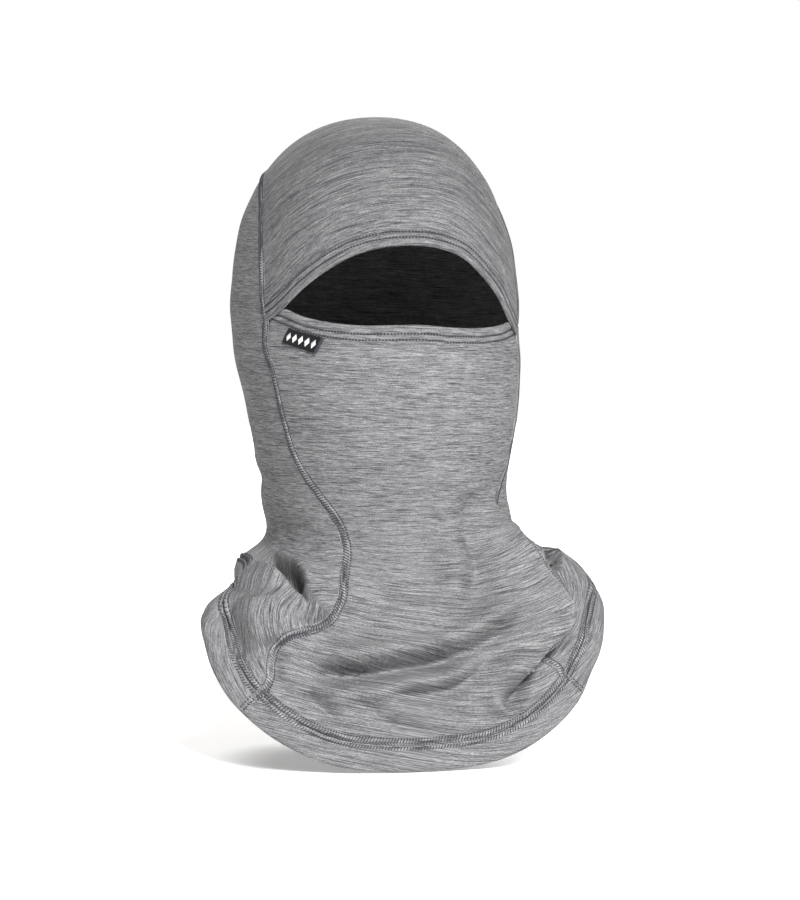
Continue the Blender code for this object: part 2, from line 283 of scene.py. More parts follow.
# Each fold has its kind, half-width, height and the (angle, height) points that it runs through, with its
# lengths in millimetres. A crease is a valley between two low shoulders, and a ridge is a soft hump. A lap
# stands proud on the left of its path and hangs over the cloth on the right.
FOLDS = (
    # the groove between the neck and the right shoulder's roll, and its run down to the side seam
    ("lap", 6.5, 8, (
        (-24, -160), (-33, -154), (-43, -147.5), (-51, -144.5), (-60, -143), (-68, -142.5), (-75, -142),
    )),
    ("crease", 5, 11, ((-36, -149), (-44, -142), (-54, -137.5), (-64, -135.5), (-74, -134.5))),
    ("crease", 6, 6, ((-58, -137), (-46, -143), (-38, -150), (-32, -156), (-25, -160), (-17, -161))),
    ("crease", 4, 2.6, ((-72, -150), (-58, -150), (-44, -150), (-36, -152))),
    ("crease", 7, 6.5, ((-62, -157), (-47, -170), (-37, -186))),
    ("ridge", 8, 5.8, ((-48, -154), (-38, -166), (-32, -180))),
    # the groove between the neck and the left shoulder's roll
    ("ridge", 8, 3.5, ((50, -134), (60, -132), (74, -131), (90, -131), (108, -132))),
    ("lap", 7, 6.5, ((112, -141), (94, -139), (80, -139), (68, -139), (58, -141), (49, -145))),
    ("crease", 5.5, 6.8, ((75, -132.5), (67, -133), (58, -135.5), (49, -139.5))),
    # the front panel's big fold over the left side seam
    ("lap", 8, 10.5, (
        (13, -214), (14, -205), (17, -191), (21, -183), (27, -176), (32, -169), (34, -163), (33, -156),
        (33, -145), (38, -134), (40, -122), (42, -108), (44, -96),
    )),
    ("crease", 5, 9, ((19, -190), (16, -200), (14, -210), (12, -218))),
    ("ridge", 4.5, 5.5, ((8, -209), (11, -215), (15, -218))),
    # the drape of the bib
    ("crease", 6.6, 13.5, ((-20, -188), (-12, -193), (-3, -194), (4, -186), (14, -174), (27, -164))),
    ("crease", 5.8, 9.5, ((-3, -207), (3, -203), (9, -190), (18, -180), (26, -173))),
    ("ridge", 7.5, 8.5, ((-18, -178), (-8, -184), (2, -177), (12, -164), (24, -153))),
    ("ridge", 6.5, 7, ((-16, -203), (-8, -206), (2, -196), (10, -182))),
    ("crease", 5, 4.2, ((-30, -172), (-27, -184), (-24, -197))),
    ("crease", 5, 4.2, ((-17, -204), (-12, -212), (-8, -222))),
    ("crease", 5.5, 4.2, ((-8, -202), (-4, -212), (0, -225))),
    ("crease", 9, 6.2, ((33, -92), (24, -110), (16, -132), (6, -156))),
    ("crease", 7.5, 4, ((10, -104), (2, -121), (-2, -140))),
    ("ridge", 9, 5.5, ((17, -112), (8, -135), (0, -160), (-6, -172))),
    # the left shoulder, the back and the nape
    ("crease", 6, 2.2, ((62, -150), (50, -164), (44, -180))),
    ("crease", 10, 5, ((150, -118), (170, -126), (190, -126), (212, -118))),
    ("ridge", 12, 4, ((140, -145), (165, -152), (195, -152), (222, -144))),
    ("crease", 11, 4, ((128, -150), (140, -178), (148, -215))),
    ("crease", 11, 4, ((235, -150), (222, -180), (214, -215))),
    ("crease", 13, 3.5, ((172, -150), (178, -185), (181, -230))),
    ("crease", 6, 1.6, ((-140, -98), (-115, -92), (-92, -88))),
    ("crease", 6, 1.4, ((92, -86), (118, -90), (145, -98))),
)


def fold_path(points):
    """The fold's smooth path over the form, as points in space."""
    angle, z = np.array(metres(points, columns=(1,)), float).T
    places = np.arange(len(points), dtype=float)
    at = np.linspace(0, places[-1], 6 * len(points))
    angle = through(np.stack([places, angle], axis=-1), at)
    z = through(np.stack([places, z], axis=-1), at)
    return round_point(angle, z)


def nearest_on(path, points):
    """Each point's distance from the path, positive on its left, its place along it and the leftward way."""
    start, run = path[:-1], np.diff(path, axis=0)
    length2 = (run**2).sum(-1)
    sides = unit(np.cross(outward(path), np.gradient(path, axis=0)))
    share = np.clip(((points[:, None] - start) * run).sum(-1) / length2, 0, 1)
    gap = points[:, None] - start - share[..., None] * run
    best = (gap**2).sum(-1).argmin(1)
    row = np.arange(len(points))
    gap, share = gap[row, best], share[row, best]
    side = unit(sides[best] * (1 - share[:, None]) + sides[best + 1] * share[:, None])
    distance = np.linalg.norm(gap, axis=-1) * np.where((gap * side).sum(-1) < 0, -1, 1)
    before = np.concatenate([[0], np.cumsum(np.sqrt(length2))])
    place = (before[best] + share * np.sqrt(length2[best])) / before[-1]
    return distance, place, side


def fold_shape(kind, reach):
    """A fold's height and its sideways lean across its path. Reach is the distance over the half-width."""
    if kind == "ridge":
        return np.exp(-(reach**2)), 0 * reach
    if kind == "crease":
        # a sharp valley between two low shoulders
        shoulders = np.exp(-(((np.abs(reach) - 1.7) / 0.8) ** 2))
        return 0.30 * shoulders - np.exp(-1.25 * np.hypot(reach, 0.15) ** 1.35), 0 * reach
    # a lap: a slow rise on its left, a steep drop into a groove on its right, and a lip that leans over it
    high = np.exp(-((reach / 2.6) ** 2))
    low = 1.8 * np.exp(-((reach / 0.42) ** 2)) - 0.8 * np.exp(-((reach / 1.5) ** 2))
    lean = -0.55 * np.exp(-(((reach - 0.1) / 0.60) ** 2))
    return np.where(reach > 0, high, low), lean


def ripples(points):
    """Small uneven waves all over, strongest in the cape and faint on the head."""
    x, y, z = np.moveaxis(points, -1, 0)
    loose = smooth(-0.085, -0.150, z)
    slow = np.sin(61 * x + 3 * np.sin(40 * z) + 17 * y) * np.sin(88 * z + 21 * x + 1.3)
    quick = np.sin(150 * x + 60 * z + 2 * np.sin(90 * y)) * np.sin(170 * z - 70 * x + 45 * y)
    return slow * (0.0003 + 0.0014 * loose) + quick * (0.00012 + 0.00045 * loose)


def folded(points):
    """Surface points of the form, moved to where the folded cloth lies."""
    flat = points.reshape(-1, 3)
    up = outward(flat)
    moved = flat + up * ripples(flat)[:, None]
    for kind, width, height, spots in FOLDS:
        path, width, height = fold_path(spots), width / 1000, height / 1000
        reach = FOLD_REACH * width
        near = ((flat > path.min(0) - reach) & (flat < path.max(0) + reach)).all(-1)
        if not near.any():
            continue
        distance, place, side = nearest_on(path, flat[near])
        rise, lean = fold_shape(kind, distance / width)
        fade = smooth(0, FOLD_END, place) * smooth(1, 1 - FOLD_END, place) * height
        moved[near] += up[near] * (rise * fade)[:, None] + side * (lean * fade)[:, None]
    moved[:, 2] -= ROLL * flat[:, 0] * smooth(-0.09, -0.03, flat[:, 2]) * smooth(0.10, 0.05, flat[:, 2])
    return moved.reshape(points.shape)


def surface(points):
    """Where the folded cloth lies at each surface point of the form, and which way it faces there."""
    reach = 0.0006
    up = outward(points)
    first = unit(np.cross(up, np.array([0.31, 0.2, 0.93])))
    second = np.cross(up, first)
    run = folded(points + first * reach) - folded(points - first * reach)
    rise = folded(points + second * reach) - folded(points - second * reach)
    return folded(points), facing_out(unit(np.cross(run, rise)), up)


# ---- where the pieces meet
def brow_point(angle):
    """A surface point on the edge over the eyes."""
    return round_point(angle, through(BROW_EDGE, angle))


def nose_point(angle):
    """A surface point on the edge under the eyes."""
    return round_point(angle, through(NOSE_EDGE, angle))


def hem_point(angle):
    """The hem's own edge. Angles past 180 run on round the back."""
    turned = np.abs((np.asarray(angle, float) + 180) % 360 - 180)
    return round_point(angle, through(HEM_EDGE, turned))


def seam_point(table, z):
    """A surface point on a side seam at this height."""
    return round_point(through(table, z), z)


def arch_point(x):
    """The seam over the head, in the plane of this x."""
    return turned_point(x, CROWN_SEAM_ANGLE * (1 - (np.abs(x) / CORNER_X) ** CROWN_SEAM_POWER))


# ---- how the yarn runs
# Each piece of cloth carries a "cloth" attribute: metres along the courses, metres across them, and a number
# of the panel's own, so that no two panels show the same flecks.
def front_cloth_way(points):
    """The courses of the front panel run level over the face and sag from both sides across the bib."""
    angle = np.radians(round_angle(points))
    x, z = points[..., 0], points[..., 2]
    sag = 0.40 * smooth(-0.105, -0.185, z)
    along = 0.098 * angle
    return along, z - sag * np.hypot(along, 0.02) + 0.02 * sag * np.sin(24 * x)


NECK_FOLD = metres((
    (17, -161), (30, -150), (43, -139), (54, -133), (70, -129.5), (90, -127), (128, -124),
), columns=(1,))


def back_cloth_way(points):
    """The courses of the back panel run level round the head, turn sharply at the fold round the neck and
    then fall towards the front over the shoulders."""
    angle = np.radians(round_angle(points))
    z = points[..., 2]
    turn = 0.105 * (math.pi - np.abs(angle))
    fold = through(NECK_FOLD, np.degrees(np.abs(angle)))
    slant = np.where((z < fold) & (turn > 0.10), 1.15 - 0.35 * np.sign(angle), 0)
    length = np.hypot(1, slant)
    drop = 1.25 * z
    return (turn * np.sign(angle) - slant * drop * np.sign(angle)) / length, (drop + slant * turn) / length


# ---- materials
def add_node(tree, kind, values=(), **settings):
    """A node with these settings. values are its (input, value or socket to link from) pairs."""
    made = tree.nodes.new(kind)
    for name, value in settings.items():
        setattr(made, name, value)
    for name, value in values:
        if isinstance(value, bpy.types.NodeSocket):
            tree.links.new(value, made.inputs[name])
        else:
            made.inputs[name].default_value = value
    return made


def ramp(tree, source, *stops):
    """A colour ramp from (position, grey or colour) stops."""
    made = add_node(tree, "ShaderNodeValToRGB", [("Fac", source)])
    while len(made.color_ramp.elements) < len(stops):
        made.color_ramp.elements.new(0.5)
    for element, (position, value) in zip(made.color_ramp.elements, stops):
        element.position = position
        element.color = value if isinstance(value, tuple) else (value, value, value, 1)
    return made.outputs["Color"]


# The yarn's flecks: their length and width along and across the courses, the noise's detail, its shift, and
# the two noise values between which they go from 0 to 1.
LONG_FLECKS = (0.018, 0.00045, 3.0, 0.0, 0.36, 0.54)
SHORT_FLECKS = (0.0050, 0.00042, 2.0, 3.1, 0.34, 0.62)
LIGHT_FLECKS = (0.012, 0.00048, 2.0, 7.7, 0.54, 0.72)
BANDS = (0.045, 0.0034, 2.0, 5.3, 0.34, 0.66)
GRAIN = (0.0008, 0.00055, 1.0, 9.4, 0.30, 0.70)


def flecks(tree, cloth, kind):
    """Noise in flecks that lie along the courses."""
    along, across, detail, shift, first, last = kind
    place = add_node(
        tree, "ShaderNodeMapping",
        [("Vector", cloth), ("Location", (shift, shift * 1.7, 0)), ("Scale", (1 / along, 1 / across, 7))],
    ).outputs["Vector"]
    noise = add_node(
        tree, "ShaderNodeTexNoise",
        [("Vector", place), ("Scale", 1.0), ("Detail", detail), ("Roughness", 0.55)],
    )
    return ramp(tree, noise.outputs["Fac"], (first, 0.0), (last, 1.0))


def new_material(name, values):
    """A material, its tree and its shader, with these values on the shader's own sockets."""
    made = bpy.data.materials.new(name)
    made.use_nodes = True
    shader = made.node_tree.nodes["Principled BSDF"]
    for socket, value in values.items():
        shader.inputs[socket].default_value = value
    return made, made.node_tree, shader


def finish_material(tree, shader, colour, strength, distance, height):
    """Links the shader's colour, and its normal through a bump of this height."""
    tree.links.new(colour, shader.inputs["Base Color"])
    values = [("Strength", strength), ("Distance", distance), ("Height", height)]
    bump = add_node(tree, "ShaderNodeBump", values)
    tree.links.new(bump.outputs["Normal"], shader.inputs["Normal"])


def mixed(tree, blend, amount, first, second):
    """Two colours, or sockets, mixed or multiplied by this amount."""
    made = add_node(tree, "ShaderNodeMix", data_type="RGBA", blend_type=blend)
    for place, value in ((0, amount), (6, first), (7, second)):
        if isinstance(value, bpy.types.NodeSocket):
            tree.links.new(value, made.inputs[place])
        else:
            made.inputs[place].default_value = value
    return made.outputs[2]


DARK_YARN = (0.080, 0.081, 0.092)
MIDDLE_YARN = (0.262, 0.259, 0.266)
LIGHT_YARN = (0.380, 0.376, 0.381)


def heather_material(name, brightness):
    """Heather grey jersey: light yarn with long dark flecks along the courses, over a fine knit."""
    values = {"Roughness": 0.92, "Specular IOR Level": 0.12, "Sheen Weight": 0.02, "Sheen Roughness": 0.5}
    made, tree, shader = new_material(name, values)
    cloth = add_node(tree, "ShaderNodeAttribute", attribute_name="cloth").outputs["Vector"]
    long_flecks, short_flecks, light_flecks, bands, grain = (
        flecks(tree, cloth, kind) for kind in (LONG_FLECKS, SHORT_FLECKS, LIGHT_FLECKS, BANDS, GRAIN)
    )
    dark, middle, light = (
        tuple(part * brightness for part in yarn) + (1,) for yarn in (DARK_YARN, MIDDLE_YARN, LIGHT_YARN)
    )
    colour = mixed(tree, "MIX", long_flecks, dark, middle)
    colour = mixed(tree, "MIX", light_flecks, colour, light)
    colour = mixed(tree, "MULTIPLY", 0.42, colour, short_flecks)
    colour = mixed(tree, "MULTIPLY", 0.20, colour, bands)
    colour = mixed(tree, "MULTIPLY", 0.46, colour, grain)
    uneven = mixed(tree, "MIX", 0.55, knit_height(tree, cloth), grain)
    finish_material(tree, shader, colour, 0.55, 0.00035, uneven)
    return made


KNIT_WALE = 0.0011  # twice the width of a rib
KNIT_COURSE = 0.0009  # the height of a loop


def knit_height(tree, cloth):
    """The height of the knit: upright ribs of slanting loops."""
    split = add_node(tree, "ShaderNodeSeparateXYZ", [("Vector", cloth)])

    def calc(operation, *values):
        pairs = list(enumerate(values))
        return add_node(tree, "ShaderNodeMath", pairs, operation=operation).outputs[0]

    wale = calc("PINGPONG", calc("DIVIDE", split.outputs["X"], KNIT_WALE), 0.5)
    lift = calc("ADD", calc("DIVIDE", split.outputs["Y"], KNIT_COURSE), calc("MULTIPLY", wale, 0.9))
    loops = calc("SINE", calc("MULTIPLY", lift, 2 * math.pi))
    rib = calc("SINE", calc("MULTIPLY", wale, 2 * math.pi))
    return calc("ADD", calc("MULTIPLY", loops, 0.25), calc("ADD", calc("MULTIPLY", rib, 0.25), 0.5))


def thread_material(name, colour):
    """Sewing thread, a little uneven in tone."""
    made, tree, shader = new_material(name, {"Roughness": 0.65, "Specular IOR Level": 0.2})
    place = add_node(tree, "ShaderNodeTexCoord").outputs["Object"]
    noise = add_node(tree, "ShaderNodeTexNoise", [("Vector", place), ("Scale", 900.0), ("Detail", 2.0)])
    dark = tuple(0.7 * c for c in colour) + (1,)
    tone = mixed(tree, "MIX", noise.outputs["Fac"], dark, colour + (1,))
    finish_material(tree, shader, tone, 0.3, 0.0001, noise.outputs["Fac"])
    return made


# ---- meshes
CLOTH = 0.0011  # the jersey's thickness
PANEL_SHIFT = 0.37  # moves each panel to its own part of the noise


def quads(grid):
    """The faces between the points of a grid of point numbers."""
    corners = [grid[:-1, :-1], grid[:-1, 1:], grid[1:, 1:], grid[1:, :-1]]
    return np.stack(corners, axis=-1).reshape(-1, 4)


def make_object(name, points, faces, material, way=None, panel=0):
    """A mesh object from points and faces, with the cloth's own coordinates as an attribute."""
    mesh = bpy.data.meshes.new(name)
    mesh.from_pydata(points.tolist(), [], [list(face) for face in faces])
    shape = bmesh.new()
    shape.from_mesh(mesh)
    bmesh.ops.recalc_face_normals(shape, faces=shape.faces)
    shape.to_mesh(mesh)
    shape.free()
    mesh.shade_smooth()
    mesh.set_sharp_from_angle(angle=math.radians(75))
    if way is not None:
        along, across = (value.reshape(-1) for value in way)
        numbers = np.column_stack([along, across, np.full(len(points), PANEL_SHIFT * panel)])
        cloth = mesh.attributes.new("cloth", "FLOAT_VECTOR", "POINT")
        cloth.data.foreach_set("vector", numbers.astype(np.float32).reshape(-1))
    mesh.materials.append(material)
    made = bpy.data.objects.new(name, mesh)
    bpy.context.scene.collection.objects.link(made)
    return made


def facing_of(grid, base):
    """The outward direction of a folded grid, from its own points."""
    run, rise = np.gradient(grid, axis=1), np.gradient(grid, axis=0)
    facing = np.cross(run, rise)
    size = np.linalg.norm(facing, axis=-1, keepdims=True)
    up = outward(base)
    return facing_out(np.where(size > 1e-10, unit(facing), up), up)


def cloth_sheet(name, base, material, way, panel, lift=0.0, thickness=CLOTH):
    """A sheet of cloth over a grid of surface points: its outer face, its inner face and its cut edges."""
    grid = folded(base)
    facing = facing_of(grid, base)
    outer = grid + facing * np.broadcast_to(lift, base.shape[:2])[..., None]
    inner = outer - facing * thickness
    points = np.concatenate([outer.reshape(-1, 3), inner.reshape(-1, 3)])
    count = len(points) // 2
    number = np.arange(count).reshape(base.shape[:2])
    around = np.concatenate([number[0], number[1:, -1], number[-1, -2::-1], number[-2:0:-1, 0]])
    after = np.roll(around, -1)
    rim = np.stack([around, around + count, after + count, after], axis=-1)
    faces = np.concatenate([quads(number), quads(number + count), rim])
    doubled = [np.concatenate([value.reshape(-1)] * 2) for value in way]
    return make_object(name, points, faces, material, doubled, panel)


def tube_sheet(name, base, profile, material, way, panel, lift=0.0):
    """A closed tube of cloth beside a line. The profile's (across, height) points run once round its section,
    and base has one row of surface points for each."""
    place, facing = surface(base)
    heights = np.array([height for _, height in profile])[:, None] + lift
    ring = place + facing * heights[..., None]
    number = np.arange(ring[..., 0].size).reshape(ring.shape[:2])
    faces = list(quads(np.vstack([number, number[:1]]))) + [number[::-1, 0], number[:, -1]]
    return make_object(name, ring.reshape(-1, 3), faces, material, way, panel)


STITCH_SIDES = 6
# The rings of a stitch: (place along it, size, rise) each.
STITCH_RINGS = ((-0.36, 0.85, 0.35), (0.0, 1.0, 1.0), (0.36, 0.85, 0.35))


def thread_run(places, directions, facings, length, radius):
    """The points and faces of short stitches, each a fat thread that rises from the cloth and dips back."""
    sides, rings = STITCH_SIDES, len(STITCH_RINGS)
    turn = np.arange(sides) * 2 * math.pi / sides
    across = np.cross(facings, directions)
    points = [places - directions * length / 2 - facings * radius * 0.8]
    for along, size, rise in STITCH_RINGS:
        centre = places + directions * (along * length) + facings * (radius * (rise - 0.4))
        for angle in turn:
            points.append(centre + (across * math.cos(angle) + facings * math.sin(angle)) * (radius * size))
    points.append(places + directions * length / 2 - facings * radius * 0.8)
    points = np.stack(points, axis=1)
    each = points.shape[1]
    faces = []
    for side in range(sides):
        after = (side + 1) % sides
        faces.append((0, 1 + after, 1 + side))
        for low in range(1, 1 + (rings - 1) * sides, sides):
            high = low + sides
            faces.append((low + side, low + after, high + after, high + side))
        last = 1 + (rings - 1) * sides
        faces.append((last + side, last + after, each - 1))
    whole = []
    for start in range(0, len(places) * each, each):
        whole += [[start + corner for corner in face] for face in faces]
    return points.reshape(-1, 3), whole


# Stitches, as (distance apart, length, radius, height over the cloth, slant in degrees).
HEM_STITCH = (0.0019, 0.0012, 0.00046, -0.0001, 0)
SEAM_BACK_STITCH = (0.0016, 0.0014, 0.00040, -0.0001, 0)
SEAM_FRONT_STITCH = (0.0016, 0.0012, 0.00036, -0.0001, 0)
SEAM_LADDER = (0.0016, 0.0036, 0.00030, 0.00058, 62)
BAND_STITCH = (0.0017, 0.0014, 0.00042, -0.0002, 0)
BAND_LADDER = (0.0017, 0.0027, 0.00028, 0.00086, 62)
JOIN_STITCH = (0.0018, 0.0013, 0.00038, 0.0010, 0)


def stitch_rows(name, line, rows, material, lift=None):
    """A piece of thread from rows of stitches, each with its distance beside the line and its stitch."""
    points, faces = [], []
    for across, (pitch, length, radius, height, slant) in rows:
        spots = evenly(beside(line, across), pitch)[1:-1]
        places, facings = surface(spots)
        if lift:
            height = height + lift(spots)[:, None]
        along = unit(np.gradient(places, axis=0))
        side = unit(np.cross(facings, along))
        turned = math.radians(slant)
        directions = along * math.cos(turned) + side * math.sin(turned)
        more, ends = thread_run(places + facings * height, directions, facings, length, radius)
        faces += [[corner + sum(len(p) for p in points) for corner in face] for face in ends]
        points.append(more)
    return make_object(name, np.concatenate(points), faces, material)


def tube_beside(name, line, profile, material, way, panel):
    """A tube of cloth along a line of surface points, whose section is a closed (across, height) profile."""
    base = np.stack([beside(line, across) for across, _ in profile])
    return tube_sheet(name, base, profile, material, way(base), panel)


# The sections of hems, band and seams, as (distance beside the line, height over the form) once round each.
# The grooves are where the rows of stitches pull the cloth in.
HEM_WIDTH = 0.0095
HEM_ROWS = (0.0050, 0.0084)
HEM_SECTION = metres((
    (9.5, 0), (9.1, 0.2), (8.8, -0.1), (8.4, -0.4), (8, -0.05), (7.4, 0.4), (6.7, 0.55), (6, 0.4),
    (5.4, -0.05), (5, -0.4), (4.6, -0.05), (4, 0.45), (2.8, 0.7), (1.6, 0.65), (0.7, 0.4), (0.2, -0.1),
    (0, -0.7), (0.3, -1.3), (1, -1.65), (3, -1.85), (6, -1.7), (9.5, -1.25),
))
BAND_WIDTH = 0.0150
BAND_SECTION = metres((
    (15, 0.2), (13.5, 0.6), (11, 0.85), (7.5, 0.95), (4, 0.9), (1.8, 0.65), (0.6, 0.2), (0, -0.5),
    (0.5, -1.2), (2, -1.6), (6, -1.8), (11, -1.7), (15, -1.2),
))
SIDE_SEAM_SECTION = metres((
    (-3.4, -0.4), (-3.1, 0.15), (-2.8, -0.25), (-2.4, -0.45), (-2, 0.1), (-1.3, 0.55), (-0.2, 0.65),
    (0.9, 0.55), (1.6, 0.1), (2, -0.35), (2.4, 0.05), (2.8, 0.2), (3.1, -0.4), (1, -0.9), (-1, -0.9),
))
BAND_SEAM_SECTION = metres((
    (-4.6, -0.4), (-4.3, 0.2), (-4, -0.3), (-3.6, -0.7), (-3.2, 0), (-2.6, 0.75), (-1.8, 1), (-1, 0.7),
    (-0.5, -0.1), (0, -0.7), (0.5, -0.1), (1, 0.7), (1.8, 1), (2.6, 0.75), (3.2, 0), (3.6, -0.7), (4, -0.3),
    (4.3, 0.2), (4.6, -0.4), (1.4, -1), (-1.4, -1),
))


def tuck(base):
    """How far the mask's corners lie under the crown's, inside the form."""
    angle = np.abs(round_angle(base))
    return -0.0018 * smooth(44, 54, angle) * smooth(-0.009, 0.0, base[..., 2])


STEP = 0.0013  # between the points of a seam or a hem
BROW_END = 65.8  # the angles at which the two hems meet the seams
NOSE_END = 65.5
ARCH_END = 0.0749
CORNER_SEAM_TOP = 0.002
CORNER_SEAM_RISE = 0.021


def brow_line():
    """The brow hem's edge from seam to seam, as surface points."""
    return evenly(brow_point(np.linspace(-BROW_END, BROW_END, 480)), STEP)


def seam_line(table):
    """A side seam from the hem band up to the opening's corner."""
    return evenly(seam_point(table, np.linspace(table[0][0], CORNER_SEAM_TOP, 400)), STEP)


def arch_line():
    """The seam over the head, from the right corner of the opening to the left one."""
    x = -ARCH_END * np.cos(np.linspace(0, math.pi, 400))
    return evenly(arch_point(x), STEP)


def crown_seam_line():
    """The crown's seam from one corner of the opening over the head to the other corner."""
    rise = np.linspace(CORNER_SEAM_TOP, CORNER_SEAM_RISE, 20)
    line = np.vstack([seam_point(LEFT_SEAM, rise), arch_line(), seam_point(RIGHT_SEAM, rise[::-1])])
    return evenly(settle(evenly(line, STEP)), STEP)


def band_line(first, last, distance):
    """The hem band's line at this distance above its own edge, between two angles round the hem."""
    edge = evenly(hem_point(np.linspace(first, last, 900)), STEP)
    return beside(edge, distance) if distance else edge


def join_line(angle):
    """The short seam across the hem band, straight up from the edge."""
    edge = hem_point(np.linspace(angle - 2, angle + 2, 5))
    heights = np.linspace(0.0008, BAND_WIDTH - 0.003, 12)
    return evenly(np.stack([beside(edge, height)[2] for height in heights]), STEP)


# The panels' grids, as (columns, rows).
CROWN_GRID = (190, 120)
CROWN_CROWDING = 0.35
FRONT_GRID = (190, 190)
BACK_GRID = (350, 230)


def make_crown(jersey, thread):
    """The crown panel with its brow hem, which is the same cloth folded under and stitched in two rows."""
    columns, rows = CROWN_GRID
    edge = resampled(brow_line(), columns, CROWN_CROWDING)
    top = resampled(arch_line(), columns, CROWN_CROWDING)
    low = beside(edge, HEM_WIDTH)
    share = np.linspace(0, 1, rows)[:, None]
    x = low[:, 0] + (top[:, 0] - low[:, 0]) * share

    def turned(points):
        return np.degrees(np.arctan2(points[:, 1] - CORNER_Y, points[:, 2]))

    angle = turned(low) + (turned(top) - turned(low)) * share
    base = turned_point(x, angle)
    base[0] = low
    base[-1] = top
    step = np.linalg.norm(np.diff(base, axis=0), axis=-1)
    across = HEM_WIDTH + np.vstack([np.zeros(base.shape[1]), np.cumsum(step, axis=0)])
    along = lengths_along(edge)
    along -= along[-1] / 2
    crown = cloth_sheet("crown_cloth", base, jersey, (np.broadcast_to(along, across.shape), across), 1)

    def hem_way(grid):
        width = np.array([across for across, _ in HEM_SECTION])[:, None]
        return np.broadcast_to(along, grid.shape[:2]), np.broadcast_to(width, grid.shape[:2])

    hem = tube_beside("brow_hem_cloth", edge, HEM_SECTION, jersey, hem_way, 1)
    stitched = [(across, HEM_STITCH) for across in HEM_ROWS]
    stitches = stitch_rows("brow_hem_thread", edge, stitched, thread)
    return crown, hem, stitches


def panel_grid(top, bottom, seams, turn, share, hold, low_power):
    """Surface points in rows from a top line down to a bottom line, each row from seam to seam. A row keeps
    the top line's spacing as far as hold says, and turn is 360 for a panel that passes behind the head."""

    def spacing(line):
        angle = round_angle(line)
        angle = np.where(angle < 0, angle + turn, angle)
        return (angle - angle[0]) / (angle[-1] - angle[0])

    def bow(line, spread):
        return line[:, 2] - (line[0, 2] + (line[-1, 2] - line[0, 2]) * spread)

    first_z = top[0, 2] + (bottom[0, 2] - top[0, 2]) * share
    last_z = top[-1, 2] + (bottom[-1, 2] - top[-1, 2]) * share
    first, last = through(seams[0], first_z), turn + through(seams[1], last_z)
    spread_top, spread_low = spacing(top), spacing(bottom)
    spread = spread_top * hold + spread_low * (1 - hold)
    z = first_z + (last_z - first_z) * spread
    z = z + bow(top, spread_top) * (1 - share) ** 2 + bow(bottom, spread_low) * share**low_power
    return round_point(first + (last - first) * spread, z)


def make_front(jersey, thread):
    """The front panel and its nose hem, one piece of cloth from the nose over the chin to the hem band."""
    columns, rows = FRONT_GRID
    nose = evenly(nose_point(np.linspace(-NOSE_END, NOSE_END, 400)), STEP)
    top = resampled(beside(nose, -HEM_WIDTH), columns)
    bottom = resampled(band_line(LEFT_JOIN, RIGHT_JOIN, BAND_WIDTH), columns)
    share = np.linspace(0, 1, rows)[:, None]
    base = panel_grid(top, bottom, (LEFT_SEAM, RIGHT_SEAM), 0, share, 1 - share, 1.6)
    front = cloth_sheet("front_cloth", base, jersey, front_cloth_way(base), 2, lift=tuck(base))
    section = tuple((-across, height) for across, height in HEM_SECTION)
    lines = np.stack([beside(nose, across) for across, _ in section])
    hem = tube_sheet("nose_hem_cloth", lines, section, jersey, front_cloth_way(lines), 2, tuck(lines))
    stitched = [(-across, HEM_STITCH) for across in HEM_ROWS]
    stitches = stitch_rows("nose_hem_thread", nose, stitched, thread, tuck)
    return front, hem, stitches


# The back panel's rows lie closer together where the cloth turns out over the shoulders.
BACK_CROWDING = 0.09
BACK_CROWD_AT = 0.74


def make_back(jersey):
    """The back panel, from the seam over the head down to the hem band and from seam to seam behind."""
    columns, rows = BACK_GRID
    top = resampled(arch_line()[::-1], columns)
    bottom = resampled(band_line(RIGHT_JOIN, 360 + LEFT_JOIN, BAND_WIDTH), columns)
    share = np.linspace(0, 1, rows)[:, None]
    wave = np.sin(2 * math.pi * (share - BACK_CROWD_AT)) - math.sin(-2 * math.pi * BACK_CROWD_AT)
    share = share - BACK_CROWDING * wave
    base = panel_grid(top, bottom, (RIGHT_SEAM, LEFT_SEAM), 360, share, (1 - share) ** 2, 2)
    return cloth_sheet("back_cloth", base, jersey, back_cloth_way(base), 3)


def make_band(name, first, last, jersey, way, panel):
    """A length of the hem band: cloth folded double round the cape's edge."""
    line = band_line(first, last, 0)
    return tube_beside(name, line, BAND_SECTION, jersey, way, panel)


def seam_way(base):
    """The seam's own coordinates: metres along it, and a small step for each line across it."""
    step = np.linalg.norm(np.diff(base, axis=1), axis=-1)
    along = np.concatenate([np.zeros((len(base), 1)), np.cumsum(step, axis=1)], axis=1)
    across = np.broadcast_to(np.arange(len(base))[:, None] * 0.0003, along.shape)
    return along, across


# The rows of thread of each flatlock seam, as (distance beside the line, stitch): a row along each edge and
# ladder stitches over the rolls of cloth between them.
SIDE_SEAM_ROWS = ((-0.0024, SEAM_BACK_STITCH), (0.0020, SEAM_FRONT_STITCH), (-0.0002, SEAM_LADDER))
BAND_SEAM_ROWS = (
    (-0.0036, BAND_STITCH), (0.0, BAND_STITCH), (0.0036, BAND_STITCH),
    (-0.0018, BAND_LADDER), (0.0018, BAND_LADDER),
)
JOIN_ROWS = ((-0.0012, JOIN_STITCH), (0.0012, JOIN_STITCH))


# ---- the label
LABEL_CORNERS = ((-54.5, -0.0125), (-38.5, -0.0180), (-34.5, -0.0090), (-51.0, -0.0045))
LABEL_SIZE = (0.028, 0.0095)
LABEL_LIFT = 0.0015
LABEL_THICKNESS = 0.0006
LABEL_END_THICKNESS = 0.0003
LOZENGES = 5
LOZENGE_FIRST = 0.155
LOZENGE_SPACING = 0.17
